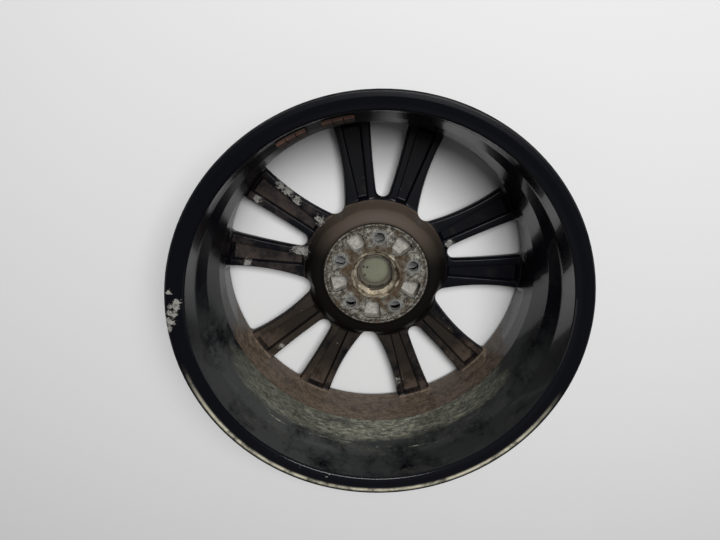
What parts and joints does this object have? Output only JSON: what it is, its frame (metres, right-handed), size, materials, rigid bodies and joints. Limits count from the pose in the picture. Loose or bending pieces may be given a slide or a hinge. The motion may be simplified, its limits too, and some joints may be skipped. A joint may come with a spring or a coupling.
{
  "type": "alloy wheel",
  "caption": "Cast aluminium road wheel lying on its outboard flange: paired channelled spokes, bolt-on hub boss with stepped bore, black barrel, snap-in centre cap and stick-on balance weights.",
  "frame": {"origin": "centre of the bolt circle on the mounting pad of the hub", "axes": "+Z along the wheel's axis towards the vehicle; +Y through one bolt hole; the wheel lies on its outboard flange"},
  "size_m": [0.522, 0.5218, 0.215],
  "materials": {
    "black_alloy": "gloss black paint over cast alloy, bare on the mounting pad, dusty",
    "cap_plastic": "dull pale moulding",
    "rusted_steel": "rusted, zinc gone",
    "foam_tape": "dull foam"
  },
  "bodies": {
    "root": {"wheel": "black_alloy", "centre_cap": "cap_plastic", "balance_weight_1": "rusted_steel", "balance_weight_2": "rusted_steel", "weight_tape_1": "foam_tape", "weight_tape_2": "foam_tape"}
  },
  "joints": []
}
